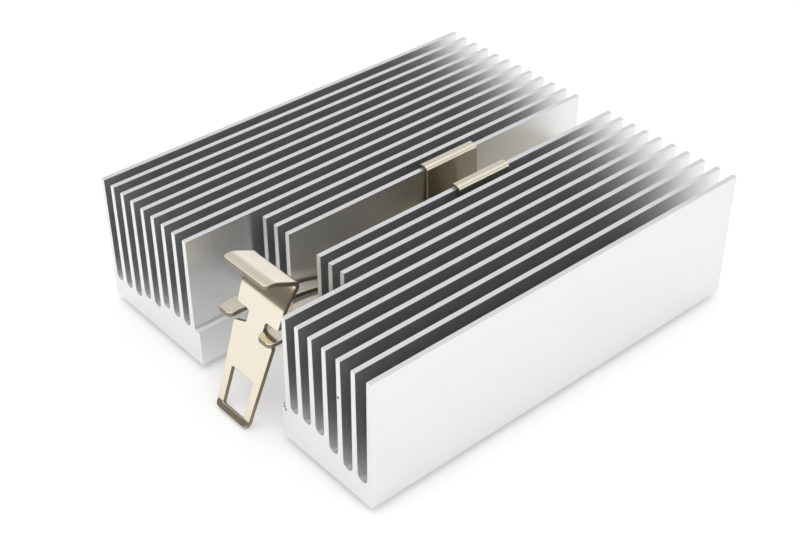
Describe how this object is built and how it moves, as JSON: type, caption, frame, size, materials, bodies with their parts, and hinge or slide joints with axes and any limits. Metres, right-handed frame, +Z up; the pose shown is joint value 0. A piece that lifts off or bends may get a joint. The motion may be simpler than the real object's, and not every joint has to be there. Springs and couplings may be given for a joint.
{
  "type": "extruded heat sink with a spring clip",
  "caption": "Finned aluminium heat sink with a clip channel, a near-end notch and a bent spring clip whose hinged hook plate catches a processor socket's lug.",
  "frame": {"origin": "centre of the base's flat underside, halfway along and across the extrusion; only the clip's two hooks reach below it, by 1.3 mm", "axes": "+X across the fins, towards the smaller group of fins; +Y along the fins, away from the notch; +Z up, towards the fin tips"},
  "size_m": [0.0692, 0.085, 0.027],
  "materials": {
    "aluminium": "satin, as extruded, with saw-cut ends",
    "spring_steel": "bright nickel plate"
  },
  "bodies": {
    "sink": {"heat_sink": "aluminium", "clip_spring": "spring_steel", "saddle_clip": "spring_steel"},
    "latch": {"hook_plate": "spring_steel"}
  },
  "joints": [
    {"name": "latch_swing", "type": "hinge", "parent": "sink", "child": "latch", "pos_m": [0.00386, -0.0371, 0.0146], "axis": [-1, 0, 0], "range_deg": [-22, 24]}
  ]
}
